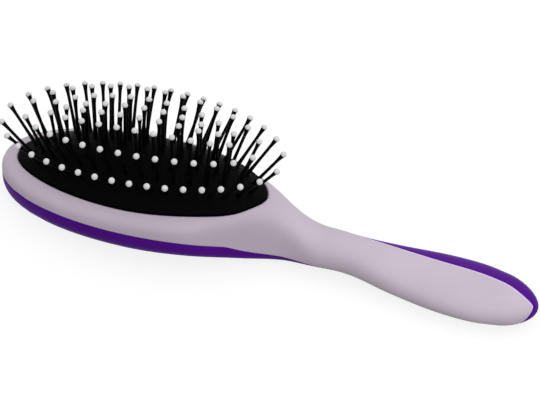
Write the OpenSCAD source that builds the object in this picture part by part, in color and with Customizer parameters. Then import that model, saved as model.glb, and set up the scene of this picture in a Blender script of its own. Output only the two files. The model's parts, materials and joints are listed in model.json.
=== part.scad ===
// Oval cushion brush: a two-tone moulded body, a rubber cushion and leaning ball-tipped pins.
// The head frame has its zero at the middle of the cushion, on the face of the head.
// There +X points to the handle, +Z out of the face, and the near side is -Y.

/* [Head] */
// Distance from the middle of the cushion to the far end of the head
head_reach = 59.3; // [57:0.1:70]
// Width of the head at its widest
head_w = 58.8; // [57.6:0.2:70]
// Depth of the front shell, from the face to the parting line
face_depth = 7.7; // [7.2:0.1:9]
// Depth of the back shell below the parting line
back_depth = 12.4; // [11.4:0.1:16]

/* [Handle] */
// Distance from the middle of the cushion to the end of the handle
handle_reach = 167.4; // [150:0.2:190]
// Width of the neck
neck_w = 17.6; // [14:0.2:22]
// Thickness of the neck
neck_d = 12.6; // [11:0.2:15]
// Width of the grip at its widest
grip_w = 31; // [26:0.2:36]
// Thickness of the grip
grip_d = 13.8; // [12:0.2:18]
// Drop of the handle's end below the face of the head
handle_drop = 34; // [26:0.2:38]
// Length of the rounded end of the handle
end_cap_l = 16; // [10:0.5:18]

/* [Parting line] */
// Angle that the parting line turns through between the head and the grip
parting_twist = 75.6; // [50:0.2:82]
// Distance from the middle of the cushion to where the parting line starts to turn
twist_start = 27; // [15:1:40]
// Distance from the middle of the cushion to where the turn is complete
twist_end = 131; // [118:1:140]
// Width of the back shell's band that wraps round the end of the handle
end_wrap = 1.6; // [1.2:0.1:4]

/* [Cushion] */
// Width of the rim between the opening and the far end of the head
end_rim_w = 6.4; // [5.8:0.1:9]
// Width of the rim between the opening and the side of the head
side_rim_w = 6; // [5.6:0.1:8]
// Rise of the cushion's crown above its edge
cushion_rise = 12; // [9:0.1:13]
// Depth of the cushion's edge below the face
edge_drop = 0.8; // [0.5:0.1:1.2]
// Thickness of the rubber
rubber_t = 1.6; // [1.2:0.1:2]
// Width of the ledge that holds the cushion's flange
ledge_w = 1.5; // [1.4:0.1:1.7]
// Depth of the ledge below the face
ledge_z = 2.9; // [2.7:0.1:3.4]
// Thickness of the clamp ring below the flange
clamp_t = 2.4; // [2:0.1:3]
// Depth of the air space below the face
chamber_z = 13.2; // [11:0.1:14]

/* [Pins] */
// Length of a pin above the rubber, with its tip
pin_l = 20.9; // [17:0.1:25]
// Diameter of a pin where it leaves the rubber
pin_root_d = 1.7; // [1.4:0.05:2]
// Diameter of a pin at its slimmest
pin_waist_d = 1.3; // [1.1:0.05:1.6]
// Diameter of the flare under the tip
pin_flare_d = 2.1; // [1.8:0.05:2.4]
// Diameter of a pin's head under the rubber
pin_head_d = 2.8; // [2.5:0.1:3.4]
// Thickness of a pin's head
pin_head_t = 1.1; // [0.9:0.05:1.4]
// Height of the cone on top of a pin's head
pin_head_cone = 0.6; // [0.5:0.05:0.8]
// Diameter of a tip
tip_d = 2.6; // [2.2:0.05:3]
// Height of a tip
tip_h = 1.7; // [1.3:0.05:2]
// Distance from the end of the opening to the outer oval of pins
pin_end_inset = 6; // [5:0.1:8]
// Distance from the side of the opening to the outer oval of pins
pin_side_inset = 6.5; // [5:0.1:7.5]
// Lean of the outer pins at the two ends of the cushion
end_lean = 36; // [20:0.5:38]
// Lean of the outer pins at the two sides of the cushion
side_lean = 45.5; // [28:0.5:48]

/* [Fits] */
// Gap between the rubber and what it passes
rubber_gap = 0.3; // [0.2:0.05:0.5]
// Radial clearance of a pin in the rubber
pin_gap = 0.06; // [0.04:0.01:0.1]
// Radial clearance of an assembly peg in its socket
peg_gap = 0.05; // [0.03:0.01:0.1]
// Diameter of the assembly pegs beside the cushion
rim_peg_d = 2.6; // [2:0.1:3]
// Diameter of the assembly pegs in the handle
handle_peg_d = 4; // [3:0.1:5]
// Length that a peg stands out of the parting face
peg_l = 2.8; // [2:0.1:3.2]

/* [Hidden] */
// Overrun of every cut
cut = 1;
// Number of pins in each oval, from the outer one in
ring_counts = [36, 28, 22, 16];
// Points along half of a section, on each shell
arc_n = 21;
// Points round an oval
oval_n = 96;
// Roundness of the plan of the head, of the opening and of the edges of the head
plan_power = 2.1;
opening_power = 1.9;
edge_power = 5;
// Roundness of a section: the face, the shoulder, the back of the head and the handle
face_power = 3.8;
shoulder_power = 4.3;
back_power = 5;
grip_power = 2.4;
cap_power = 2.2;
// Where the front shell ends: the angle round the section that it ends at, and its roundness there
end_face_angle = 139;
close_power = 2.65;
// How gently the parting line starts to turn
twist_power = 1.47;
// A quarter of a turn
quarter = 90;
// Falling off of the lean from the outer oval to the middle
lean_power = 2.2;

// Outline from the widest part of the head to the cap of the handle. Each row has its place, as a share
// of the head's reach and one of the handle's, and then shares of the head, neck and grip widths.
outline_shares = [
    [0, 0, 1, 0, 0],
    [0.423, 0, 0.913, 0, 0],
    [0.762, 0, 0.552, 0, 0],
    [1.044, 0, 0.062, 0.768, 0],
    [0, 0.455, 0, 1, 0],
    [0, 0.54, 0, 0.445, 0.371],
    [0, 0.645, 0, 0, 0.84],
    [0, 0.755, 0, 0, 1],
    [0, 0.85, 0, 0, 0.97],
    [0, 0.92, 0, 0, 0.69],
];
// Middle line: the place in the same two shares, and a share of the drop below the parting level
drop_shares = [
    [0, 0, 0],
    [0.423, 0, 0.108],
    [0.762, 0, 0.324],
    [1.1, 0, 0.535],
    [0, 0.51, 0.595],
    [0, 0.645, 0.749],
    [0, 0.8, 0.894],
    [0, 1, 1],
];
// Place along the head's reach where its depth starts to go over into the neck's, and places along
// the handle's reach where it is the neck's, and where it is the grip's
shoulder_share = 0.79;
neck_share = 0.47;
grip_share = 0.8;
// Places along the handle's reach where the front shell starts to close, and to turn as it closes
close_share = 0.85;
turn_share = 0.93;
// The ovals of pins, from the outer one in, as shares of its half length and half width, and the place
// of the first pin of each, as a share of a step past the long axis
ring_length_shares = [1, 0.9, 0.8, 0.67];
ring_width_shares = [1, 0.73, 0.43, 0.17];
ring_start_shares = [0.5, 0.5, 0.5, 0];
// Places of the pegs along the handle's reach, and of those beside the cushion along the opening
handle_peg_shares = [0.52, 0.66, 0.8];
rim_peg_share = 0.24;

cap_start = handle_reach - end_cap_l;
front_end = handle_reach - end_wrap;
close_start = handle_reach * close_share;
opening_a = head_reach - end_rim_w;
opening_b = head_w / 2 - side_rim_w;
flange_t = rubber_t;
clamp_z = ledge_z + flange_t;
seat_z = clamp_z + clamp_t;

// Signed power, and a step that eases in and out between two places
function spow(v, p) = sign(v) * pow(abs(v), p);
function ease(v) = v <= 0 ? 0 : v >= 1 ? 1 : v * v * (3 - 2 * v);
function eased(x, x0, x1) = ease((x - x0) / (x1 - x0));
function mix(a, b, t) = a + (b - a) * t;

// Smooth curve through knots [x, y], with level ends
function knot_before(k, x, i = 0) = i >= len(k) - 2 || x < k[i + 1][0] ? i : knot_before(k, x, i + 1);
function knot_slope(k, i) = i == 0 ? 0
    : i == len(k) - 1 ? (k[i][1] - k[i - 1][1]) / (k[i][0] - k[i - 1][0])
    : (k[i + 1][1] - k[i - 1][1]) / (k[i + 1][0] - k[i - 1][0]);
function through(k, x) =
    let (
        i = knot_before(k, x),
        w = k[i + 1][0] - k[i][0],
        t = (x - k[i][0]) / w,
        m0 = knot_slope(k, i) * w,
        m1 = knot_slope(k, i + 1) * w
    )
    k[i][1] * (2 * t ^ 3 - 3 * t ^ 2 + 1) + m0 * (t ^ 3 - 2 * t ^ 2 + t)
        + k[i + 1][1] * (3 * t ^ 2 - 2 * t ^ 3) + m1 * (t ^ 3 - t ^ 2);

// Half width of the body at x
width_knots = [for (s = outline_shares)
    [s[0] * head_reach + s[1] * handle_reach, (s[2] * head_w + s[3] * neck_w + s[4] * grip_w) / 2]];
cap_slope = knot_slope(width_knots, len(width_knots) - 1);
function cap_round(x) = pow(1 - pow(min((x - cap_start) / end_cap_l, 1), cap_power), 1 / cap_power);
function half_w(x) = x < 0 ? head_w / 2 * pow(1 - pow(-x / head_reach, plan_power), 1 / plan_power)
    : x < cap_start ? through(width_knots, x)
    : (through(width_knots, cap_start) + cap_slope * (x - cap_start) / 2) * cap_round(x);

// Level of the middle line at x
drop_knots = [for (s = drop_shares)
    [s[0] * head_reach + s[1] * handle_reach, -face_depth - s[2] * (handle_drop - face_depth)]];
function mid_z(x) = x < 0 ? -face_depth : through(drop_knots, x);

// Height of a section above the middle line and its depth below it
function end_round(x) = x < 0 ? pow(1 - pow(-x / head_reach, edge_power), 1 / edge_power)
    : x < cap_start ? 1 : cap_round(x);
function stem_d(x) = mix(neck_d, grip_d, eased(x, neck_share * handle_reach, grip_share * handle_reach)) / 2;
function to_stem(x) = eased(x, shoulder_share * head_reach, neck_share * handle_reach);
function rise(x) = mix(-mid_z(x), stem_d(x), to_stem(x)) * end_round(x);
function depth(x) = mix(back_depth, stem_d(x), eased(x, 0, neck_share * handle_reach)) * end_round(x);
function head_power(x) = mix(face_power, shoulder_power, eased(x, 0, shoulder_share * head_reach));
function section_power(x, a) = mix(sin(a) > 0 ? head_power(x) : back_power, grip_power, to_stem(x));

// Point of the skin at x, at an angle round the section that counts from +Y towards +Z
function skin(x, a) = [x,
    half_w(x) * spow(cos(a), 2 / section_power(x, a)),
    mid_z(x) + (sin(a) > 0 ? rise(x) : depth(x)) * spow(sin(a), 2 / section_power(x, a))];

// The front shell spans an arc of each section, and the back shell has the rest
function twist(x) = parting_twist * pow(eased(x, twist_start, twist_end), twist_power);
function arc_mid(x) = mix(quarter + twist(x), end_face_angle, eased(x, turn_share * handle_reach, front_end));
function arc_half(x) = x <= close_start ? quarter
    : quarter * sqrt(max(0, 1 - pow((x - close_start) / (front_end - close_start), close_power)));

// Stations along the body, closer together where it rounds off
head_steps = 12;
body_steps = 28;
close_steps = 9;
wrap_steps = 4;
head_x = [for (i = [1:head_steps - 1]) -head_reach * cos(quarter * i / head_steps)];
body_x = [for (i = [0:body_steps]) close_start * i / body_steps];
close_x = [for (i = [1:close_steps - 1]) mix(close_start, front_end, sin(quarter * i / close_steps))];
wrap_x = [for (i = [1:wrap_steps]) mix(front_end, handle_reach, sin(quarter * i / (wrap_steps + 1)))];
shared_x = concat(head_x, body_x, close_x);
back_x = concat(shared_x, [front_end], wrap_x);
far_apex = [-head_reach, 0, mid_z(-head_reach)];
end_apex = [handle_reach, 0, mid_z(handle_reach)];

function front_ring(x) = [for (j = [0:arc_n - 1])
    skin(x, arc_mid(x) + arc_half(x) * (2 * j / (arc_n - 1) - 1))];
function back_ring(x) = [for (j = [0:arc_n - 1])
    skin(x, arc_mid(x) + arc_half(x) + (4 * quarter - 2 * arc_half(x)) * j / (arc_n - 1))];

// Triangle of three different corners
function tri(a, b, c) = a == b || b == c || c == a ? [] : [[a, b, c]];

// Solid through closed rings of arc_n points between two apexes.
// From ring merge_from on, the first and last points of a ring are one point.
module loft(rings, start, finish, merge_from, flip) {
    last = len(rings) - 1;
    function id(i, j) = 1 + i * arc_n + (i >= merge_from && j % arc_n == arc_n - 1 ? 0 : j % arc_n);
    function side(i, j) =
        let (a = id(i, j), b = id(i, j + 1), c = id(i + 1, j + 1), d = id(i + 1, j))
        flip ? concat(tri(a, d, b), tri(b, d, c)) : concat(tri(a, d, c), tri(a, c, b));
    end_id = 1 + (last + 1) * arc_n;
    polyhedron(
        points = concat([start], [for (r = rings) each r], [finish]),
        faces = concat(
            [for (j = [0:arc_n - 1]) each tri(0, id(0, j), id(0, j + 1))],
            [for (i = [0:last - 1], j = [0:arc_n - 1]) each side(i, j)],
            [for (j = [0:arc_n - 1]) each tri(end_id, id(last, j + 1), id(last, j))]),
        convexity = 8);
}

// Oval of the opening's form, grown by a width all round
function oval_points(grow) = [for (i = [0:oval_n - 1])
    let (a = 4 * quarter * i / oval_n)
    [(opening_a + grow) * spow(cos(a), 2 / opening_power), (opening_b + grow) * spow(sin(a), 2 / opening_power)]];
module oval_block(grow, z0, z1) {
    translate([0, 0, z0]) linear_extrude(z1 - z0) polygon(oval_points(grow));
}

// Torus whose top is the cushion's crown, shrunk by a wall
crown_z = cushion_rise - edge_drop;
long_r = (opening_a ^ 2 + cushion_rise ^ 2) / (2 * cushion_rise);
cross_r = (opening_b ^ 2 + cushion_rise ^ 2) / (2 * cushion_rise);
module crown_torus(wall) {
    translate([0, 0, crown_z - long_r]) rotate([quarter, 0, 0]) rotate_extrude($fn = 180)
        translate([long_r - cross_r, 0]) circle(r = cross_r - wall, $fn = 180);
}
function crown_height(x, y) = crown_z - long_r
    + sqrt((long_r - cross_r + sqrt(cross_r ^ 2 - y ^ 2)) ^ 2 - x ^ 2);

// Places along an oval at equal steps of its length: the angle of each pin of oval k
oval_steps = 180;
function oval_step(a, b, i) =
    let (t = 4 * quarter * (i + 0.5) / oval_steps)
    norm([a * sin(t), b * cos(t)]);
function oval_table(a, b) = [for (i = 0, s = 0; i <= oval_steps; s = s + oval_step(a, b, i), i = i + 1)
    [s, 4 * quarter * i / oval_steps]];
function oval_angles(k) =
    let (t = oval_table(ring_a(k), ring_b(k)), n = ring_counts[k - 1])
    [for (i = [0:n - 1]) lookup(t[oval_steps][0] * (i + ring_start_shares[k - 1]) / n, t)];

// Feet of the pins: [x, y, lean of the axis along x, lean along y].
// The two sides of an oval stay far enough apart for the heads of their pins.
function ring_a(k) = (opening_a - pin_end_inset) * ring_length_shares[k - 1];
function ring_b(k) = max((opening_b - pin_side_inset) * ring_width_shares[k - 1], pin_head_d);
function lean_share(k) = pow(ring_width_shares[k - 1], lean_power);
function oval_feet(k) = [for (t = oval_angles(k))
    [ring_a(k) * cos(t), ring_b(k) * sin(t),
     tan(end_lean) * lean_share(k) * cos(t), tan(side_lean) * lean_share(k) * sin(t)]];
function near_feet(k) = [for (f = oval_feet(k)) if (f[1] < -pin_root_d / 2) f];
function far_feet(k) = [for (f = oval_feet(k)) if (f[1] >= -pin_root_d / 2) f];

// Frame at a foot: zero on the rubber's outer face, +Z along the pin
module at_foot(f) {
    translate([f[0], f[1], crown_height(f[0], f[1])])
        rotate([0, atan(norm([f[2], f[3]])), atan2(f[3], f[2])]) children();
}
function tip_centre(f) = [f[0], f[1], crown_height(f[0], f[1])]
    + (shaft_l + tip_edge_h) * [f[2], f[3], 1] / norm([f[2], f[3], 1]);

// Pin with its head under the rubber and a flare at the top
shaft_l = pin_l - tip_h;
head_top_z = -rubber_t - rubber_gap;
waist_share = 0.45;
flare_share = 0.86;
module pin() {
    rotate_extrude($fn = 24) polygon([
        [0, head_top_z - pin_head_t],
        [pin_head_d / 2, head_top_z - pin_head_t],
        [pin_head_d / 2, head_top_z - pin_head_cone],
        [pin_root_d / 2, head_top_z],
        [pin_root_d / 2, rubber_gap],
        [pin_waist_d / 2, shaft_l * waist_share],
        [pin_waist_d / 2, shaft_l * flare_share],
        [pin_flare_d / 2, shaft_l],
        [0, shaft_l]]);
}
// Tip: a dome with a flat underside on the flare
tip_edge_h = tip_h - tip_d / 2;
module tip() {
    translate([0, 0, shaft_l]) rotate_extrude($fn = 24) intersection() {
        translate([0, tip_edge_h]) circle(d = tip_d, $fn = 48);
        square([tip_d, tip_h]);
    }
}

// Assembly pegs: on the parting face, along its normal there
rim_peg_x = opening_a * rim_peg_share * 2;
function rim_peg_y(x) = (half_w(x) + (opening_b + ledge_w) * sqrt(1 - (x / opening_a) ^ 2)) / 2;
rim_pegs = [for (sx = [-1, 1], sy = [-1, 1]) [sx * rim_peg_x, sy * rim_peg_y(rim_peg_x)]];
module rim_peg_set(grow) {
    for (p = rim_pegs) translate([p[0], p[1], mid_z(p[0]) - peg_l - (grow > 0 ? peg_gap : 0)])
        cylinder(d = rim_peg_d + 2 * grow, h = peg_l * 2, $fn = 32);
}
module handle_peg_set(grow) {
    for (s = handle_peg_shares) {
        x = s * handle_reach;
        translate([x, 0, mid_z(x)]) rotate([twist(x), 0, 0])
            translate([0, 0, -peg_l - (grow > 0 ? peg_gap : 0)])
            cylinder(d = handle_peg_d + 2 * grow, h = peg_l * 2, $fn = 32);
    }
}

// Rest: the brush lies on the back of the head and the end of the handle
function under(x) = [x, mid_z(x) - depth(x)];
head_under = [for (x = back_x) if (x <= 0) under(x)];
handle_under = [for (x = back_x) if (x > cap_start - end_cap_l) under(x)];
rest_slope = max([for (p = head_under) min([for (q = handle_under) (q[1] - p[1]) / (q[0] - p[0])])]);
rest_tilt = -atan(rest_slope);
function tilted_x(p) = p[0] * cos(rest_tilt) - p[2] * sin(rest_tilt);
function tilted_z(p) = p[0] * sin(rest_tilt) + p[2] * cos(rest_tilt);
end_tips = [for (f = oval_feet(1)) if (f[0] < 0) tilted_x(tip_centre(f)) - tip_d / 2];
body_min_x = min([for (x = head_x) tilted_x(skin(x, quarter))]);
low_x = min(min(end_tips), body_min_x, tilted_x(far_apex));
high_x = max([for (x = back_x) tilted_x(skin(x, 3 * quarter))]);
low_z = min([for (q = handle_under) tilted_z([q[0], 0, q[1]])]);
module place() {
    translate([-(low_x + max(high_x, tilted_x(end_apex))) / 2, 0, -low_z]) rotate([0, -rest_tilt, 0]) children();
}

module front_shell() {
    color([0.74, 0.7, 0.76]) place() difference() {
        union() {
            loft([for (x = shared_x) front_ring(x)], far_apex, skin(front_end, arc_mid(front_end)),
                len(back_x), false);
            rim_peg_set(0);
            handle_peg_set(0);
        }
        oval_block(0, -handle_drop, cut);
        oval_block(ledge_w, -handle_drop, -ledge_z);
    }
}

module back_shell() {
    color([0.3, 0.1, 0.5]) place() difference() {
        union() {
            loft([for (x = back_x) back_ring(x)], far_apex, end_apex, len(shared_x), true);
            seat_block();
        }
        oval_block(ledge_w - peg_gap, -seat_z, cut);
        oval_block(0, -chamber_z, cut);
        rim_peg_set(peg_gap);
        handle_peg_set(peg_gap);
    }
}

// Block under the clamp ring: the air space's floor, and near the handle down into the back shell,
// where the parting line lies below that floor
seat_steps = 24;
seat_end = opening_a + ledge_w;
module seat_block() {
    intersection() {
        oval_block(ledge_w - peg_gap, -handle_drop, -seat_z);
        translate([0, head_w / 2, 0]) rotate([quarter, 0, 0]) linear_extrude(head_w) polygon(concat(
            [for (i = [0:seat_steps])
                let (x = mix(-seat_end, seat_end, i / seat_steps))
                [x, min(-chamber_z, mid_z(x) - depth(x) / 2)]],
            [[seat_end, -seat_z], [-seat_end, -seat_z]]));
    }
}

module cushion_pad() {
    color([0.07, 0.07, 0.08]) place() difference() {
        union() {
            intersection() {
                crown_torus(0);
                oval_block(-rubber_gap, -clamp_z, cushion_rise + cut);
            }
            oval_block(ledge_w - rubber_gap, -clamp_z, -ledge_z);
        }
        intersection() {
            crown_torus(rubber_t);
            oval_block(-rubber_gap - rubber_t, -clamp_z - cut, cushion_rise + cut);
        }
        for (k = [1:len(ring_counts)], f = oval_feet(k)) pin_hole(f);
    }
}
module pin_hole(f) {
    at_foot(f) translate([0, 0, -rubber_t * 2]) cylinder(d = pin_root_d + 2 * pin_gap, h = rubber_t * 3, $fn = 24);
}

module clamp_ring() {
    color([0.1, 0.1, 0.11]) place() difference() {
        oval_block(ledge_w - rubber_gap, -seat_z, -clamp_z);
        oval_block(-rubber_t, -seat_z - cut, cut);
    }
}

module pin_group(feet) {
    color([0.05, 0.05, 0.06]) place() for (f = feet) at_foot(f) pin();
}
module tip_group(feet) {
    color([0.86, 0.86, 0.87]) place() for (f = feet) at_foot(f) tip();
}

front_shell();
back_shell();
cushion_pad();
clamp_ring();
pin_group(near_feet(1));  // pins_oval_1_near
pin_group(far_feet(1));  // pins_oval_1_far
pin_group(near_feet(2));  // pins_oval_2_near
pin_group(far_feet(2));  // pins_oval_2_far
pin_group(near_feet(3));  // pins_oval_3_near
pin_group(far_feet(3));  // pins_oval_3_far
pin_group(near_feet(4));  // pins_oval_4_near
pin_group(far_feet(4));  // pins_oval_4_far
tip_group(near_feet(1));  // tips_oval_1_near
tip_group(far_feet(1));  // tips_oval_1_far
tip_group(near_feet(2));  // tips_oval_2_near
tip_group(far_feet(2));  // tips_oval_2_far
tip_group(near_feet(3));  // tips_oval_3_near
tip_group(far_feet(3));  // tips_oval_3_far
tip_group(near_feet(4));  // tips_oval_4_near
tip_group(far_feet(4));  // tips_oval_4_far
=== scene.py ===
# Looks of the cushion brush: smooth shells, a dimpled rubber cushion, flared pins and their tips.
# Shapes are worked out in the head frame, in millimetres, as in the part's source, and then placed in
# the row frame.
import json
import bmesh
import bpy
import numpy as np
from mathutils import Matrix, Vector
from mathutils.kdtree import KDTree


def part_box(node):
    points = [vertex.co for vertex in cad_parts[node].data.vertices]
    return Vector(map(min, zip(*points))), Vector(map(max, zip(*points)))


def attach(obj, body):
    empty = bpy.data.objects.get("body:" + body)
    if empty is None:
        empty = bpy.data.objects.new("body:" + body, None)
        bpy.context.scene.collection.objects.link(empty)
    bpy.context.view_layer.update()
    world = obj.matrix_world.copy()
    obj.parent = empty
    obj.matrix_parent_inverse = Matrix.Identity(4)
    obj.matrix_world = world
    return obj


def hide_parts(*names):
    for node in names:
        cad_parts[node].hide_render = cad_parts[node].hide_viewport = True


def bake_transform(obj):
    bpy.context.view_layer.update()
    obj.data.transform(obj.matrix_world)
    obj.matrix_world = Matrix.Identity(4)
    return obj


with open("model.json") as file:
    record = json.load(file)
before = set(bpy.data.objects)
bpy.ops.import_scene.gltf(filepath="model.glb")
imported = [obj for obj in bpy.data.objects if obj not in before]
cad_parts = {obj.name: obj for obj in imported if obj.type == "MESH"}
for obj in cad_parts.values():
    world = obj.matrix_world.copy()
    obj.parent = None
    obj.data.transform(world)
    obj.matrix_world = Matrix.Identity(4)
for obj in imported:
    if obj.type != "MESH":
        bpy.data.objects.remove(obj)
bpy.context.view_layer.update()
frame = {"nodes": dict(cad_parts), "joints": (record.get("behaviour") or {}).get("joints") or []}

MM = 0.001

# Driving sizes, in mm and degrees. They are those of the part's source, but the outline, the section and
# the parting line of the shells have their last refinements only here. The handle, the pins and their tips
# are 0.01 or 0.02 mm smaller here, so that no piece sticks out of the solids' box.
HEAD_REACH, HEAD_W, FACE_DEPTH, BACK_DEPTH = 59.3, 58.8, 7.7, 13.3
HANDLE_REACH, NECK_W, NECK_D, GRIP_W, GRIP_D = 167.38, 17.6, 15.2, 31.0, 14.9
HANDLE_DROP, END_CAP_L = 34.0, 16.0
PARTING_TWIST, TWIST_START, TWIST_END, TWIST_POWER, END_WRAP = 73.0, 40.8, 132.0, 0.74, 1.6
END_RIM_W, SIDE_RIM_W = 6.4, 6.0
CUSHION_RISE, EDGE_DROP = 12.0, 0.8
LEDGE_Z, CLAMP_Z, SEAT_Z = 2.9, 4.5, 6.9
PIN_L, PIN_ROOT_D, PIN_WAIST_D, PIN_FLARE_D = 20.89, 1.7, 1.3, 2.1
TIP_D, TIP_H = 2.59, 1.69
PIN_END_INSET, PIN_SIDE_INSET, PIN_HEAD_D = 6.0, 6.5, 2.8
END_LEAN, SIDE_LEAN, LEAN_POWER = 36.0, 45.5, 2.2
RINGS = (1, 2, 3, 4)
RING_COUNTS, RING_START_SHARES = [36, 28, 22, 16], [0.5, 0.5, 0.5, 0]
RING_LENGTH_SHARES, RING_WIDTH_SHARES = [1, 0.9, 0.8, 0.67], [1, 0.73, 0.43, 0.17]
PLAN_POWER, OPENING_POWER, EDGE_POWER, BACK_EDGE_POWER = 2.1, 1.9, 5.0, 3.35
FACE_POWER, SHOULDER_POWER, BACK_POWER, GRIP_POWER, CAP_POWER = 3.8, 4.5, 3.32, 2.15, 1.95
END_FACE_ANGLE, FAR_CLOSE_POWER, NEAR_CLOSE_POWER, CAP_SLOPE_SHARE = 124.0, 4.0, 7.5, 0.78
SHOULDER_SHARE, NECK_SHARE, GRIP_SHARE, CLOSE_SHARE, LATE_SHARE = 0.79, 0.47, 0.8, 0.675, 0.58
# Place as shares of the head's and the handle's reach, then shares of the head, neck and grip widths
OUTLINE_SHARES = [
    (0, 0, 1, 0, 0),
    (0.423, 0, 0.903, 0, 0),
    (0.762, 0, 0.541, 0, 0),
    (1.044, 0, 0.062, 0.788, 0),
    (0, 0.455, 0, 1.05, 0),
    (0, 0.54, 0, 0.445, 0.319),
    (0, 0.645, 0, 0, 0.795),
    (0, 0.755, 0, 0, 0.993),
    (0, 0.85, 0, 0, 1.011),
    (0, 0.92, 0, 0, 0.843),
]
# Place in the same two shares, and a share of the drop below the parting level
DROP_SHARES = [
    (-0.8, 0, 0),
    (0, 0, 0.057),
    (0.423, 0, 0.129),
    (0.762, 0, 0.361),
    (1.1, 0, 0.527),
    (0, 0.51, 0.581),
    (0, 0.645, 0.744),
    (0, 0.8, 0.872),
    (0, 1, 1),
]

OPENING_A = HEAD_REACH - END_RIM_W
OPENING_B = HEAD_W / 2 - SIDE_RIM_W
CAP_START = HANDLE_REACH - END_CAP_L
FRONT_END = HANDLE_REACH - END_WRAP
CLOSE_START = CLOSE_SHARE * HANDLE_REACH

# Place of the head frame: its tilt is that of the cushion's joint, and the clamp ring is centred under
# its zero
press_joint = next(j for j in frame["joints"] if j["name"] == "cushion_press")
press_axis = Vector(press_joint["axis"]).normalized()
tilt = Matrix.Rotation(-np.arctan2(-press_axis.x, press_axis.z), 4, "Y")
ring_low, ring_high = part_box("clamp_ring")
head_zero = (ring_low + ring_high) / 2 - tilt @ Vector((0, 0, -(CLAMP_Z + SEAT_Z) / 2 * MM))
to_row = Matrix.Translation(head_zero) @ tilt @ Matrix.Scale(MM, 4)
to_row_np = np.array(to_row)


def placed(points):
    """Points of the head frame in millimetres, as points of the row frame in metres."""
    points = np.asarray(points, float).reshape(-1, 3)
    return points @ to_row_np[:3, :3].T + to_row_np[:3, 3]


# The outline functions of the part's source. x runs along the body from the middle of the head, y across
# it and z up.
def spow(v, p):
    """Power of a number's size, with its sign kept."""
    return np.sign(v) * np.abs(v) ** p


def mix(a, b, t):
    return a + (b - a) * t


def eased(x, start, end):
    """Smooth step from 0 at the start to 1 at the end."""
    t = np.clip((x - start) / (end - start), 0, 1)
    return t * t * (3 - 2 * t)


def through(knots, x):
    """Smooth curve through knots, level at its start."""
    kx, ky = np.array(knots, float).T
    slope = np.zeros(len(kx))
    slope[1:-1] = (ky[2:] - ky[:-2]) / (kx[2:] - kx[:-2])
    slope[-1] = (ky[-1] - ky[-2]) / (kx[-1] - kx[-2])
    i = np.clip(np.searchsorted(kx, x, side="right") - 1, 0, len(kx) - 2)
    w = kx[i + 1] - kx[i]
    t = (x - kx[i]) / w
    return (ky[i] * (2 * t**3 - 3 * t**2 + 1) + slope[i] * w * (t**3 - 2 * t**2 + t)
            + ky[i + 1] * (3 * t**2 - 2 * t**3) + slope[i + 1] * w * (t**3 - t**2))


WIDTH_KNOTS = [(s * HEAD_REACH + t * HANDLE_REACH, (h * HEAD_W + n * NECK_W + g * GRIP_W) / 2)
               for s, t, h, n, g in OUTLINE_SHARES]
DROP_KNOTS = [(s * HEAD_REACH + t * HANDLE_REACH, -FACE_DEPTH - d * (HANDLE_DROP - FACE_DEPTH))
              for s, t, d in DROP_SHARES]
(x_a, w_a), (x_b, w_b) = WIDTH_KNOTS[-2:]
CAP_SLOPE = CAP_SLOPE_SHARE * (w_b - w_a) / (x_b - x_a)


def cap_round(x):
    """Share of the handle's size that is left as its end rounds off."""
    t = np.clip((x - CAP_START) / END_CAP_L, 0, 1)
    return (1 - t**CAP_POWER) ** (1 / CAP_POWER)


def half_w(x):
    """Half of the body's width."""
    head = HEAD_W / 2 * (1 - np.clip(-x / HEAD_REACH, 0, 1) ** PLAN_POWER) ** (1 / PLAN_POWER)
    body = through(WIDTH_KNOTS, np.clip(x, 0, CAP_START))
    cap = (through(WIDTH_KNOTS, np.array(CAP_START)) + CAP_SLOPE * (x - CAP_START)) * cap_round(x)
    return np.where(x < 0, head, np.where(x < CAP_START, body, cap))


def mid_z(x):
    """Height at which the body is widest."""
    return through(DROP_KNOTS, np.clip(x, DROP_KNOTS[0][0], None))


def end_round(x, power=EDGE_POWER):
    """Share of the height that is left as the body rounds off at its two ends."""
    head = (1 - np.clip(-x / HEAD_REACH, 0, 1) ** power) ** (1 / power)
    return np.where(x < 0, head, cap_round(x))


def stem_d(x):
    """Half of the thickness of neck and grip."""
    return mix(NECK_D, GRIP_D, eased(x, NECK_SHARE * HANDLE_REACH, GRIP_SHARE * HANDLE_REACH)) / 2


def to_stem(x):
    """Change from the head's section, 0, to the neck's, 1."""
    return eased(x, SHOULDER_SHARE * HEAD_REACH, NECK_SHARE * HANDLE_REACH)


def rise(x):
    """Height of the body's top above its widest line."""
    return mix(-mid_z(x), stem_d(x), to_stem(x)) * end_round(x)


def depth(x):
    """Depth of the body's back below its widest line."""
    middle = mix(BACK_DEPTH, stem_d(x), eased(x, 0, NECK_SHARE * HANDLE_REACH))
    return middle * end_round(x, BACK_EDGE_POWER)


def section_power(x, upper):
    """Power of the section's superellipse, above or below the widest line."""
    head = mix(FACE_POWER, SHOULDER_POWER, eased(x, 0, SHOULDER_SHARE * HEAD_REACH))
    return mix(np.where(upper, head, BACK_POWER), GRIP_POWER, to_stem(x))


def skin(x, a):
    """Points of the skin at x, at an angle in degrees round the section from +Y towards +Z."""
    x, a = np.broadcast_arrays(np.asarray(x, float), np.asarray(a, float))
    c, s = np.cos(np.radians(a)), np.sin(np.radians(a))
    p = section_power(x, s > 0)
    z = mid_z(x) + np.where(s > 0, rise(x), depth(x)) * spow(s, 2 / p)
    return np.stack([x, half_w(x) * spow(c, 2 / p), z], -1)


def upper_z(x, y):
    """Height of the body's upper side."""
    p = section_power(x, True)
    return mid_z(x) + rise(x) * (1 - np.clip(np.abs(y) / half_w(x), 0, 1) ** p) ** (1 / p)


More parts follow.
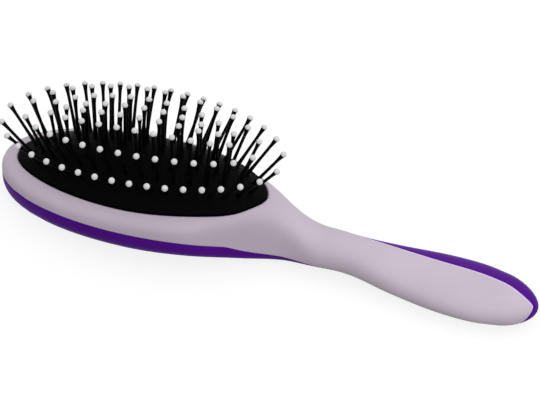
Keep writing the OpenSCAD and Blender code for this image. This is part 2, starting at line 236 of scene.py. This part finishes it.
def skin_normals(x, a):
    """Unit normals of the skin, by differences."""
    h, turn = 0.02, 2
    xc = np.clip(x, -HEAD_REACH + h, HANDLE_REACH - h)
    along = skin(xc + h, a) - skin(xc - h, a)
    around = skin(xc, a + turn) - skin(xc, a - turn)
    n = np.cross(around, along)
    centre = np.stack([xc, 0 * xc, mid_z(xc)], -1)
    n *= np.sign(((skin(xc, a) - centre) * n).sum(-1))[..., None]
    return n / np.maximum(np.linalg.norm(n, axis=-1), 1e-9)[..., None]


def oval(phi):
    """Points of the opening's outline and its outward directions, at angles in degrees."""
    def at(p):
        c, s = np.cos(np.radians(p)), np.sin(np.radians(p))
        return np.stack([OPENING_A * spow(c, 2 / OPENING_POWER), OPENING_B * spow(s, 2 / OPENING_POWER)], -1)
    turn = 0.5
    d = at(phi + turn) - at(phi - turn)
    out = np.stack([d[..., 1], -d[..., 0]], -1)
    out /= np.linalg.norm(out, axis=-1)[..., None]
    return at(phi), out


# The parting line between the shells, which turns about the handle's axis. The shells' edges are rounded
# and leave a groove between them.
EDGE_R, GROOVE = 0.35, 0.12
TRIM = EDGE_R + GROOVE / 2
HALVINGS = 40


def twist(x):
    """Turn of the near parting line from the head's, in degrees."""
    return PARTING_TWIST * eased(x, TWIST_START, TWIST_END) ** TWIST_POWER


def near_line(x):
    """Angle of the near parting line, but for the closing at the handle's end."""
    return 180 + twist(x)


def far_line(x):
    """Angle of the far parting line, which comes up through the neck later than the twist."""
    p = section_power(x, True)
    late = eased(x, TWIST_START, LATE_SHARE * HANDLE_REACH)
    height = spow(np.sin(np.radians(twist(x))), 2 / p) * late
    return np.degrees(np.arcsin(height ** (p / 2)))


def trimmed(x, edge, side):
    """Angle at which the surface comes within TRIM of the edge at that angle, coming from the side."""
    low, high = np.zeros_like(x), np.full_like(x, 90.0)
    start = skin(x, edge)
    for _ in range(HALVINGS):
        middle = (low + high) / 2
        far = np.linalg.norm(skin(x, edge + side * middle) - start, axis=-1) > TRIM
        high, low = np.where(far, middle, high), np.where(far, low, middle)
    return (low + high) / 2


def shell_edges(x, side):
    """Angles of a shell's near and far edges, trimmed and brought together where the front shell ends.

    The side is -1 for the front shell and 1 for the back shell.
    """
    near = near_line(x) + side * trimmed(x, near_line(x), side)
    far = far_line(x) - side * trimmed(x, far_line(x), -side)
    t = np.clip((x - CLOSE_START) / (FRONT_END + side * TRIM - CLOSE_START), 0, 1)
    near = mix(END_FACE_ANGLE, near, np.sqrt(1 - t**NEAR_CLOSE_POWER))
    far = mix(END_FACE_ANGLE, far, np.sqrt(1 - t**FAR_CLOSE_POWER))
    return near, far


def mesh_piece(name, verts, faces, body, nodes):
    """Piece from points of the head frame, smooth shaded, that stands for nodes and rides on a body."""
    mesh = bpy.data.meshes.new(name)
    mesh.from_pydata([tuple(v) for v in placed(verts)], [], [tuple(int(i) for i in f) for f in faces])
    mesh.validate()
    mesh.polygons.foreach_set("use_smooth", [True] * len(mesh.polygons))
    piece = bpy.data.objects.new(name, mesh)
    bpy.context.scene.collection.objects.link(piece)
    if body:
        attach(piece, body)
    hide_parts(*nodes)
    return piece


def grid_faces(rows, cols, closed=False, start=0):
    """Quads of a grid of points, row after row; closed joins each row's last point to its first."""
    faces = []
    for i in range(rows - 1):
        for j in range(cols if closed else cols - 1):
            k = (j + 1) % cols
            faces.append((start + i * cols + j, start + i * cols + k,
                          start + (i + 1) * cols + k, start + (i + 1) * cols + j))
    return faces


# Points closer than WELD are joined, and edges shorter than SLIVER are taken out
WELD, SLIVER = 0.004, 0.001


def merged(name, grids, body, nodes):
    """One piece from several grids of points, with the points that they share joined."""
    verts, faces = [], []
    for rows in grids:
        faces += grid_faces(rows.shape[0], rows.shape[1], start=len(verts))
        verts += list(rows.reshape(-1, 3))
    piece = mesh_piece(name, verts, faces, body, nodes)
    bm = bmesh.new()
    bm.from_mesh(piece.data)
    bmesh.ops.remove_doubles(bm, verts=bm.verts, dist=WELD * MM)
    bmesh.ops.dissolve_degenerate(bm, edges=bm.edges, dist=SLIVER * MM)
    bmesh.ops.recalc_face_normals(bm, faces=bm.faces)
    bm.to_mesh(piece.data)
    bm.free()
    return piece


# Rows and columns of the shells' grids, closer together where the head and the handle round off
SHOULDER_X = 62.0
END_ROWS, HEAD_ROWS, HANDLE_ROWS, CLOSING_ROWS, WRAP_ROWS = 18, 68, 52, 34, 9
END_ROUND_SHARE = 0.95
TOP_COLUMNS, STRIP_COLUMNS, BACK_COLUMNS, FACE_ROWS = 25, 18, 61, 30
BESIDE_SHARE = 0.35
# the last of these is the width in mm of the highlight that is painted along the front shell's edge on the
# handle
LIP_R, LIP_ROWS, EDGE_ROWS, WALL_DEPTH, PAINTED_HIGHLIGHT_W = 0.9, 8, 6, 1.4, 0.6
# Half of the opening's angle that faces the shoulder, and the fineness of the lines that spacing is
# worked out on
SHOULDER_FACING, SIDE_STEPS, SHOULDER_STEPS, PATH_STEPS, PATH_POWER = 22, 400, 200, 300, 3


def quarter(count):
    """Angles in radians over a quarter turn."""
    return np.radians(np.linspace(0, 90, count))


def run_lengths(points):
    """Length along a polyline up to each of its points."""
    return np.concatenate([[0], np.cumsum(np.linalg.norm(np.diff(points, axis=0), axis=1))])


def ringed(rows):
    """Rows of points with the first column again at their end."""
    return np.concatenate([rows, rows[:, :1]], 1)


def head_stations(reach_round, power):
    """Places from the far end, where the section is only as high as the trimmed edge, to the shoulder."""
    e = np.linspace(reach_round, END_ROUND_SHARE, END_ROWS)
    end = -HEAD_REACH * (1 - e**power) ** (1 / power)
    return np.concatenate([end, np.linspace(end[-1], SHOULDER_X, HEAD_ROWS)[1:]])


def handle_stations(end_x):
    """Places from the shoulder to the end, closer together where the front shell closes."""
    straight = np.linspace(SHOULDER_X, CLOSE_START, HANDLE_ROWS)
    return np.concatenate([straight, mix(CLOSE_START, end_x, np.sin(quarter(CLOSING_ROWS)))[1:]])


def between(start, end, count):
    """Angles from one edge to the other, even but for a closer one beside each edge."""
    even = np.linspace(0, 1, count - 2)
    beside = even[1] * BESIDE_SHARE
    return mix(start, end, np.concatenate([[0, beside], even[1:-1], [1 - beside, 1]]))


def rounded_edge(body_x, near, far, side):
    """Loop of a shell's open edge, its places, and the rows that turn it inwards and go on down a wall."""
    loop_x = np.concatenate([body_x, body_x[-2:0:-1]])
    loop_a = np.concatenate([near, far[-2:0:-1]])
    loop = skin(loop_x, loop_a)
    normals = skin_normals(loop_x, loop_a)
    outward = np.cross(np.roll(loop, -1, 0) - np.roll(loop, 1, 0), normals) * side
    outward /= np.maximum(np.linalg.norm(outward, axis=-1), 1e-9)[..., None]
    rows = []
    for b in quarter(EDGE_ROWS):
        rows.append(loop + outward * EDGE_R * np.sin(b) - normals * EDGE_R * (1 - np.cos(b)))
    rows.append(rows[-1] - normals * WALL_DEPTH)
    return loop, loop_x, ringed(np.array(rows))


def paint_edge_highlight(piece, line):
    """Writes how near each point is to an edge line, from 0 to 1, as the attribute the material reads to
    paint a highlight along that edge.
    """
    tree = KDTree(len(line))
    for i, point in enumerate(placed(line)):
        tree.insert(point, i)
    tree.balance()
    away = np.array([tree.find(v.co)[2] for v in piece.data.vertices]) / MM
    highlight_mask = piece.data.attributes.new("edge", "FLOAT", "POINT")
    highlight_mask.data.foreach_set("value", 1 - np.clip(away / PAINTED_HIGHLIGHT_W, 0, 1))


def opening_angles(ends, cut):
    """Angles of the opening's outline that the face's columns start from, spread as their ends are."""
    turn = cut + TOP_COLUMNS
    low, high = 360 - SHOULDER_FACING, 360 + SHOULDER_FACING
    spans = [(ends[:cut + 1], np.linspace(180, low, SIDE_STEPS)),
             (ends[cut:turn], np.linspace(low, high, SHOULDER_STEPS)),
             (np.concatenate([ends[turn - 1:], ends[:1]]), np.linspace(high, 540, SIDE_STEPS))]
    phi = []
    for line, span in spans:
        steps = run_lengths(line)
        rim_steps = run_lengths(oval(span)[0])
        phi.append(np.interp(steps / steps[-1] * rim_steps[-1], rim_steps, span)[:-1])
    return np.concatenate(phi)


def face_column(start, end):
    """Points of the head's upper side from the opening's lip to the widest line, at even steps."""
    def along(s):
        plan = mix(start[None], end[None, :2], s[:, None])
        return np.column_stack([plan, upper_z(plan[:, 0], plan[:, 1])])
    even = np.linspace(0, 1, PATH_STEPS)
    closer = 1 - (1 - even) ** PATH_POWER
    steps = run_lengths(along(closer))
    places = np.interp(np.linspace(0, steps[-1], FACE_ROWS), steps, even)
    column = along(np.interp(places, even, closer))
    column[-1] = end
    return column


def build_front_shell():
    head_x = head_stations(TRIM / FACE_DEPTH, EDGE_POWER)
    handle_x = handle_stations(FRONT_END - TRIM)
    body_x = np.concatenate([head_x, handle_x[1:]])
    near, far = shell_edges(body_x, -1)
    # the two edges meet at the head's end
    near[0] = far[0] = 90
    side = np.minimum(near, 180)
    cut = len(head_x) - 1
    # the face round the opening: its columns end on the widest line at the near side, across the shoulder
    # and on the widest line at the far side
    section = between(side[cut], far[cut], TOP_COLUMNS)
    end_x = np.concatenate([head_x[:-1], np.full(TOP_COLUMNS, SHOULDER_X), head_x[-2:0:-1]])
    end_a = np.concatenate([side[:cut], section, far[cut - 1:0:-1]])
    ends = skin(end_x, end_a)
    rim, out = oval(opening_angles(ends, cut))
    start = rim + LIP_R * out
    face = np.array([face_column(s, e) for s, e in zip(start, ends)]).transpose(1, 0, 2)
    # the rounded lip, from the wall under it up to the face's first row
    lip = []
    for b in quarter(LIP_ROWS)[:0:-1]:
        plan = rim + out * LIP_R * (1 - np.sin(b))
        lip.append(np.column_stack([plan, upper_z(plan[:, 0], plan[:, 1]) - LIP_R * (1 - np.cos(b))]))
    wall = np.column_stack([rim, np.full(len(rim), -LEDGE_Z - CLAMP_Z / 2)])
    rows = ringed(np.concatenate([[wall], lip, face]))
    # the top of the handle, and the strip that wraps round its near side
    top = np.array([skin(x, between(s, f, TOP_COLUMNS))
                    for x, s, f in zip(handle_x, side[cut:], far[cut:])])
    wraps = np.nonzero(near > 180)[0]
    wraps = np.arange(wraps[0] - 1, wraps[-1] + 2)
    strip = np.array([skin(body_x[i], between(side[i], near[i], STRIP_COLUMNS)) for i in wraps])
    loop, loop_x, edge = rounded_edge(body_x, near, far, 1)
    piece = merged("front_shell_skin", [rows, top, strip, edge], "housing",
                   ["front_shell"])
    # a highlight is painted along the shell's edge on the handle
    paint_edge_highlight(piece, loop[loop_x > SHOULDER_X])
    return piece


def build_back_shell():
    head_x = head_stations(TRIM / BACK_DEPTH, BACK_EDGE_POWER)
    handle_x = handle_stations(FRONT_END + TRIM)
    body_x = np.concatenate([head_x, handle_x[1:]])
    near, far = shell_edges(body_x, 1)
    # the far edge is counted on round the section, and the two meet at the head's end
    far += 360
    near[0] = far[0] = 270
    body = np.array([skin(x, np.linspace(n, f, BACK_COLUMNS)) for x, n, f in zip(body_x, near, far)])
    wrap_x = mix(body_x[-1], HANDLE_REACH, np.sin(quarter(WRAP_ROWS)))
    wrap = np.array([skin(x, np.linspace(near[-1], far[-1], BACK_COLUMNS)) for x in wrap_x])
    edge = rounded_edge(body_x, near, far, -1)[2]
    return merged("back_shell_skin", [body, wrap, edge], "housing", ["back_shell"])


# Cushion: a dome whose top is a torus, with a collar and a dimple at each pin, and a rolled edge
CROWN_Z = CUSHION_RISE - EDGE_DROP
LONG_R = (OPENING_A**2 + CUSHION_RISE**2) / (2 * CUSHION_RISE)
CROSS_R = (OPENING_B**2 + CUSHION_RISE**2) / (2 * CUSHION_RISE)
SPOKES, CROWN_ROWS, FIRST_ROW, ROW_SPREAD = 400, 96, 0.004, 0.8
COLLAR_H, COLLAR_R, COLLAR_W = 0.08, 1.3, 0.4
DIMPLE_H, DIMPLE_R, DIMPLE_W = 0.12, 2.2, 0.8
ROLL_INSET, ROLL_R, ROLL_GAP, ROLL_SINK, ROLL_START, ROLL_ROWS = 1.1, 0.75, 0.3, 0.25, 12, 8


def crown_height(x, y):
    """Height of the dome, without its collars and dimples."""
    return CROWN_Z - LONG_R + np.sqrt((LONG_R - CROSS_R + np.sqrt(CROSS_R**2 - y**2)) ** 2 - x**2)


def ring_a(k):
    """Half of the length of an oval of pins."""
    return (OPENING_A - PIN_END_INSET) * RING_LENGTH_SHARES[k - 1]


def ring_b(k):
    """Half of the width of an oval of pins."""
    return max((OPENING_B - PIN_SIDE_INSET) * RING_WIDTH_SHARES[k - 1], PIN_HEAD_D)


def oval_feet(k):
    """Feet of the pins of an oval at even steps of its length: x, y and the slopes of the pin's axis."""
    a, b, n, pieces = ring_a(k), ring_b(k), RING_COUNTS[k - 1], 180
    t = np.radians(360 * (np.arange(pieces) + 0.5) / pieces)
    table = np.concatenate([[0], np.cumsum(np.hypot(a * np.sin(t), b * np.cos(t)))])
    places = table[-1] * (np.arange(n) + RING_START_SHARES[k - 1]) / n
    t = np.radians(np.interp(places, table, np.linspace(0, 360, pieces + 1)))
    lean = RING_WIDTH_SHARES[k - 1] ** LEAN_POWER
    return np.stack([a * np.cos(t), b * np.sin(t), np.tan(np.radians(END_LEAN)) * lean * np.cos(t),
                     np.tan(np.radians(SIDE_LEAN)) * lean * np.sin(t)], -1)


def build_cushion():
    rim, out = oval(np.linspace(0, 360, SPOKES, endpoint=False))
    shares = np.linspace(FIRST_ROW, 1, CROWN_ROWS) ** ROW_SPREAD * (1 - ROLL_INSET / OPENING_B)
    plan = rim[None] * shares[:, None, None]
    x, y = plan[..., 0], plan[..., 1]
    z = crown_height(x, y)
    for fx, fy in np.concatenate([oval_feet(k) for k in RINGS])[:, :2]:
        r = np.hypot(x - fx, y - fy)
        z += COLLAR_H * np.exp(-((r - COLLAR_R) / COLLAR_W) ** 2)
        z -= DIMPLE_H * np.exp(-((r - DIMPLE_R) / DIMPLE_W) ** 2)
    rows = list(np.stack([x, y, z], -1))
    # the edge rolls down into the groove
    start = plan[-1]
    for b in np.radians(np.linspace(ROLL_START, 90, ROLL_ROWS)):
        flat = start + (rim - out * ROLL_GAP - start) * np.sin(b)
        drop = crown_height(start[:, 0], start[:, 1]) - ROLL_R * (1 - np.cos(b)) - ROLL_SINK * np.sin(b)
        rows.append(np.column_stack([flat, drop]))
    rows.append(rows[-1] - [0, 0, WALL_DEPTH])
    verts = list(np.array(rows).reshape(-1, 3)) + [[0, 0, crown_height(0.0, 0.0)]]
    faces = grid_faces(len(rows), SPOKES, True)
    faces += [(len(verts) - 1, j, (j + 1) % SPOKES) for j in range(SPOKES)]
    piece = mesh_piece("cushion_rubber", verts, faces, None, ["cushion_pad"])
    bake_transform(piece)
    return piece


# Pins and tips, turned about their axes: heights above the foot and radii. A shaft swells at its root, is
# slimmest from WAIST_SHARE to FLARE_SHARE of its length and flares under the tip. A tip has a nearly flat
# underside with a rounded edge, and a dome. Where the two meet, unseen, both are left open.
SHAFT_L = PIN_L - TIP_H
WAIST_SHARE, FLARE_SHARE, FLARE_POWER = 0.45, 0.74, 2.2
ROOT_SINK, SHAFT_END_R, TIP_START_R, TIP_GAP = 1.2, 0.2, 0.3, 0.01
ROOT_SWELL = [(-0.2, 0.16), (0.1, 0.12)]
TAPER_PLACES = [0.03, 0.1, 0.2, 0.3, WAIST_SHARE]
FLARE_PLACES = [FLARE_SHARE, 0.8, 0.85, 0.89, 0.93, 0.965, 0.985, 1.0]
UNDER_EDGE = [(0.03, 1.13), (0.12, 1.21)]
DOME_ANGLES = [-8, 8, 24, 40, 56, 70, 82]
TURNED_SEGMENTS = 20


def taper_r(t):
    return mix(PIN_ROOT_D, PIN_WAIST_D, eased(t, 0, WAIST_SHARE)) / 2


def flare_r(t):
    return mix(PIN_WAIST_D, PIN_FLARE_D, ((t - FLARE_SHARE) / (1 - FLARE_SHARE)) ** FLARE_POWER) / 2


ROOT = [(-ROOT_SINK, PIN_ROOT_D / 2)] + [(h, PIN_ROOT_D / 2 + grow) for h, grow in ROOT_SWELL]
TAPER = [(SHAFT_L * t, taper_r(t)) for t in TAPER_PLACES]
FLARE = [(SHAFT_L * t, flare_r(t)) for t in FLARE_PLACES]
SHAFT = ROOT + TAPER + FLARE + [(SHAFT_L, SHAFT_END_R)]
TIP_R, TIP_MID = TIP_D / 2, SHAFT_L + TIP_H - TIP_D / 2
UNDERSIDE = [(SHAFT_L + TIP_GAP, r) for r in (TIP_START_R, PIN_FLARE_D / 2)]
UNDERSIDE += [(SHAFT_L + h, r) for h, r in UNDER_EDGE]
DOME = [(TIP_MID + TIP_R * np.sin(b), TIP_R * np.cos(b)) for b in np.radians(DOME_ANGLES)]
TIP = UNDERSIDE + DOME + [(TIP_MID + TIP_R, 0.0)]


def turned(name, feet, profile, body, node):
    """Every pin or tip of a group: its profile turned about the pin's axis at each foot."""
    turn = np.radians(np.arange(TURNED_SEGMENTS) * 360 / TURNED_SEGMENTS)
    verts, faces = [], []
    for fx, fy, lx, ly in feet:
        axis = np.array([lx, ly, 1]) / np.sqrt(lx**2 + ly**2 + 1)
        u = np.cross([0, 1, 0], axis)
        u /= np.linalg.norm(u)
        v = np.cross(axis, u)
        foot = np.array([fx, fy, crown_height(fx, fy)])
        start = len(verts)
        for h, r in profile:
            verts += list(foot + h * axis + r * (np.cos(turn)[:, None] * u + np.sin(turn)[:, None] * v))
        faces += grid_faces(len(profile), TURNED_SEGMENTS, True, start)
    return mesh_piece(name, verts, faces, body, [node])


def build_pins():
    """Shafts and balls of the pins, each by oval and side."""
    shafts, balls = [], []
    for k in RINGS:
        feet = oval_feet(k)
        is_near = feet[:, 1] < -PIN_ROOT_D / 2
        for side, chosen in (("near", feet[is_near]), ("far", feet[~is_near])):
            name, body = f"oval_{k}_{side}", f"oval_{k}_pins"
            shafts.append(turned("shafts_" + name, chosen, SHAFT, body, "pins_" + name))
            balls.append(turned("balls_" + name, chosen, TIP, body, "tips_" + name))
    return shafts, balls


# Materials. Relief is in mm, colours are linear, and each tone is a place on the noise's ramp and a colour.
NOISE_ROUGHNESS = 0.55


def new_material(name, color, roughness, specular):
    m = bpy.data.materials.new(name)
    m.use_nodes = True
    shader = m.node_tree.nodes["Principled BSDF"]
    shader.inputs["Base Color"].default_value = (*color, 1)
    shader.inputs["Roughness"].default_value = roughness
    shader.inputs["Specular IOR Level"].default_value = specular
    return m, m.node_tree.nodes, m.node_tree.links, shader


def noise(nodes, links, scale, detail):
    """Noise in the coordinates of the object."""
    coords = nodes.new("ShaderNodeTexCoord")
    texture = nodes.new("ShaderNodeTexNoise")
    texture.inputs["Scale"].default_value = scale
    texture.inputs["Detail"].default_value = detail
    texture.inputs["Roughness"].default_value = NOISE_ROUGHNESS
    links.new(coords.outputs["Object"], texture.inputs["Vector"])
    return texture.outputs["Fac"]


def toned(nodes, links, source, low, high):
    """Colour that a noise takes from a low to a high tone."""
    ramp = nodes.new("ShaderNodeValToRGB")
    for element, (place, color) in zip(ramp.color_ramp.elements, (low, high)):
        element.position, element.color = place, (*color, 1)
    links.new(source, ramp.inputs["Fac"])
    return ramp.outputs["Color"]


def bump(nodes, links, shader, source, strength, distance):
    """Fine relief of the surface from a noise."""
    node = nodes.new("ShaderNodeBump")
    node.inputs["Strength"].default_value = strength
    node.inputs["Distance"].default_value = distance * MM
    links.new(source, node.inputs["Height"])
    links.new(node.outputs["Normal"], shader.inputs["Normal"])


def lilac_material():
    m, nodes, links, shader = new_material("lilac_soft_touch", (0.52, 0.445, 0.53), roughness=0.6,
                                           specular=0.3)
    tone = toned(nodes, links, noise(nodes, links, scale=28, detail=2),
                 low=(0.35, (0.495, 0.425, 0.505)), high=(0.65, (0.54, 0.462, 0.55)))
    # the edge of the moulding along the handle gets a painted highlight: the lilac is mixed towards a pale
    # pinkish lilac there
    highlight_mask = nodes.new("ShaderNodeAttribute")
    highlight_mask.attribute_name = "edge"
    painted_highlight = nodes.new("ShaderNodeMix")
    painted_highlight.data_type = "RGBA"
    links.new(highlight_mask.outputs["Fac"], painted_highlight.inputs["Factor"])
    links.new(tone, painted_highlight.inputs["A"])
    painted_highlight.inputs["B"].default_value = (0.76, 0.57, 0.88, 1)
    links.new(painted_highlight.outputs["Result"], shader.inputs["Base Color"])
    grain = noise(nodes, links, scale=2600, detail=2)
    bump(nodes, links, shader, grain, strength=0.25, distance=0.05)
    shader.inputs["Sheen Weight"].default_value = 0.15
    shader.inputs["Sheen Roughness"].default_value = 0.5
    return m


def purple_material():
    m, nodes, links, shader = new_material("purple_plastic", (0.078, 0.004, 0.235), roughness=0.42,
                                           specular=0.04)
    tone = toned(nodes, links, noise(nodes, links, scale=40, detail=2),
                 low=(0.35, (0.073, 0.0035, 0.222)), high=(0.65, (0.083, 0.0045, 0.248)))
    links.new(tone, shader.inputs["Base Color"])
    grain = noise(nodes, links, scale=2200, detail=2)
    bump(nodes, links, shader, grain, strength=0.12, distance=0.04)
    shader.inputs["Sheen Weight"].default_value = 0.04
    shader.inputs["Sheen Roughness"].default_value = 0.35
    shader.inputs["Sheen Tint"].default_value = (0.75, 0.4, 0.95, 1)
    return m


def rubber_material():
    m, nodes, links, shader = new_material("black_rubber", (0.0009, 0.0009, 0.001), roughness=0.5,
                                           specular=0.025)
    grain = noise(nodes, links, scale=900, detail=3)
    bump(nodes, links, shader, grain, strength=0.25, distance=0.05)
    return m


def nylon_material():
    m, nodes, links, shader = new_material("black_nylon", (0.001, 0.001, 0.0011), roughness=0.45,
                                           specular=0.05)
    grain = noise(nodes, links, scale=1500, detail=2)
    bump(nodes, links, shader, grain, strength=0.1, distance=0.03)
    return m


def tip_material():
    m, nodes, links, shader = new_material("white_tip", (0.66, 0.66, 0.67), roughness=0.4, specular=0.4)
    grain = noise(nodes, links, scale=700, detail=2)
    tone = toned(nodes, links, grain, low=(0.3, (0.62, 0.62, 0.63)), high=(0.7, (0.7, 0.7, 0.71)))
    links.new(tone, shader.inputs["Base Color"])
    bump(nodes, links, shader, grain, strength=0.1, distance=0.03)
    return m


def paint(pieces, material):
    for piece in pieces:
        piece.data.materials.clear()
        piece.data.materials.append(material)


# Floor and light. Background and floor are white where the camera, a mirror or glass shows them, and
# darker as light on the object. A lamp is a name, a place and a size in metres, and a power in watts.
WORLD_LIGHT, FLOOR_COLOR, FLOOR_LIFT = 0.84, 0.2, 0.82
FLOOR_SIZE, FLOOR_Z = 6, -0.0002
LAMPS = [("key", (0.2, 0.3, 0.9), 0.8, 1.7), ("fill", (0.55, -0.7, 0.5), 0.9, 2.5)]


def seen_directly(nodes, links, low, high):
    """Value that is high for rays from the camera, a mirror or glass, and low for light on the object."""
    path = nodes.new("ShaderNodeLightPath")
    total = path.outputs["Is Camera Ray"]
    for ray in ("Is Glossy Ray", "Is Transmission Ray"):
        larger = nodes.new("ShaderNodeMath")
        larger.operation = "MAXIMUM"
        links.new(total, larger.inputs[0])
        links.new(path.outputs[ray], larger.inputs[1])
        total = larger.outputs[0]
    span = nodes.new("ShaderNodeMapRange")
    span.inputs["To Min"].default_value = low
    span.inputs["To Max"].default_value = high
    links.new(total, span.inputs["Value"])
    return span.outputs["Result"]


def build_floor():
    bpy.ops.mesh.primitive_plane_add(size=FLOOR_SIZE, location=(0, 0, FLOOR_Z))
    floor = bpy.context.object
    floor.name = "floor"
    m, nodes, links, shader = new_material("floor", (FLOOR_COLOR,) * 3, roughness=0.9, specular=0)
    shader.inputs["Emission Color"].default_value = (1, 1, 1, 1)
    lift = seen_directly(nodes, links, low=0, high=FLOOR_LIFT)
    links.new(lift, shader.inputs["Emission Strength"])
    floor.data.materials.append(m)


def build_light():
    world = bpy.data.worlds.new("studio")
    bpy.context.scene.world = world
    world.use_nodes = True
    nodes, links = world.node_tree.nodes, world.node_tree.links
    background = nodes["Background"]
    background.inputs["Color"].default_value = (1, 1, 1, 1)
    strength = seen_directly(nodes, links, low=WORLD_LIGHT, high=1)
    links.new(strength, background.inputs["Strength"])
    for name, place, size, power in LAMPS:
        lamp = bpy.data.lights.new(name, "AREA")
        lamp.size = size
        lamp.energy = power
        lamp_object = bpy.data.objects.new(name, lamp)
        lamp_object.location = place
        lamp_object.rotation_euler = (-Vector(place)).to_track_quat("-Z", "Y").to_euler()
        bpy.context.scene.collection.objects.link(lamp_object)


# Camera of the photograph, in the head frame: angles in degrees, distance in mm, focal length in pixels
CAM_AZ, CAM_EL, CAM_ROLL, CAM_DISTANCE, CAM_FOCAL = 12.463, 40.56, 2.246, 1035.0, 2547.95
CAM_TARGET = np.array([54.0, 0.0, -3.83])
IMAGE_W, SENSOR_W, CLIP_END = 540, 36, 20


def build_camera():
    az, el, roll = np.radians([CAM_AZ, CAM_EL, CAM_ROLL])
    behind = np.array([np.sin(az) * np.cos(el), -np.cos(az) * np.cos(el), np.sin(el)])
    right = np.array([np.cos(az), np.sin(az), 0])
    up = np.cross(behind, right)
    axes = [right * np.cos(roll) + up * np.sin(roll), -right * np.sin(roll) + up * np.cos(roll), behind]
    turn = to_row_np[:3, :3] / MM
    matrix = Matrix.Identity(4)
    for i in range(3):
        for j, value in enumerate(turn @ axes[i]):
            matrix[j][i] = value
    matrix.translation = Vector(placed(CAM_TARGET + behind * CAM_DISTANCE)[0])
    data = bpy.data.cameras.new("camera")
    data.sensor_width = SENSOR_W
    data.lens = CAM_FOCAL * SENSOR_W / IMAGE_W
    data.clip_end = CLIP_END
    camera = bpy.data.objects.new("camera", data)
    camera.matrix_world = matrix
    bpy.context.scene.collection.objects.link(camera)
    bpy.context.scene.camera = camera


front_shell = build_front_shell()
back_shell = build_back_shell()
cushion = build_cushion()
shafts, balls = build_pins()
paint([front_shell], lilac_material())
paint([back_shell], purple_material())
paint([cushion, frame["nodes"]["clamp_ring"]], rubber_material())
paint(shafts, nylon_material())
paint(balls, tip_material())
build_floor()
build_light()
build_camera()
bpy.context.scene.view_settings.view_transform = "Standard"
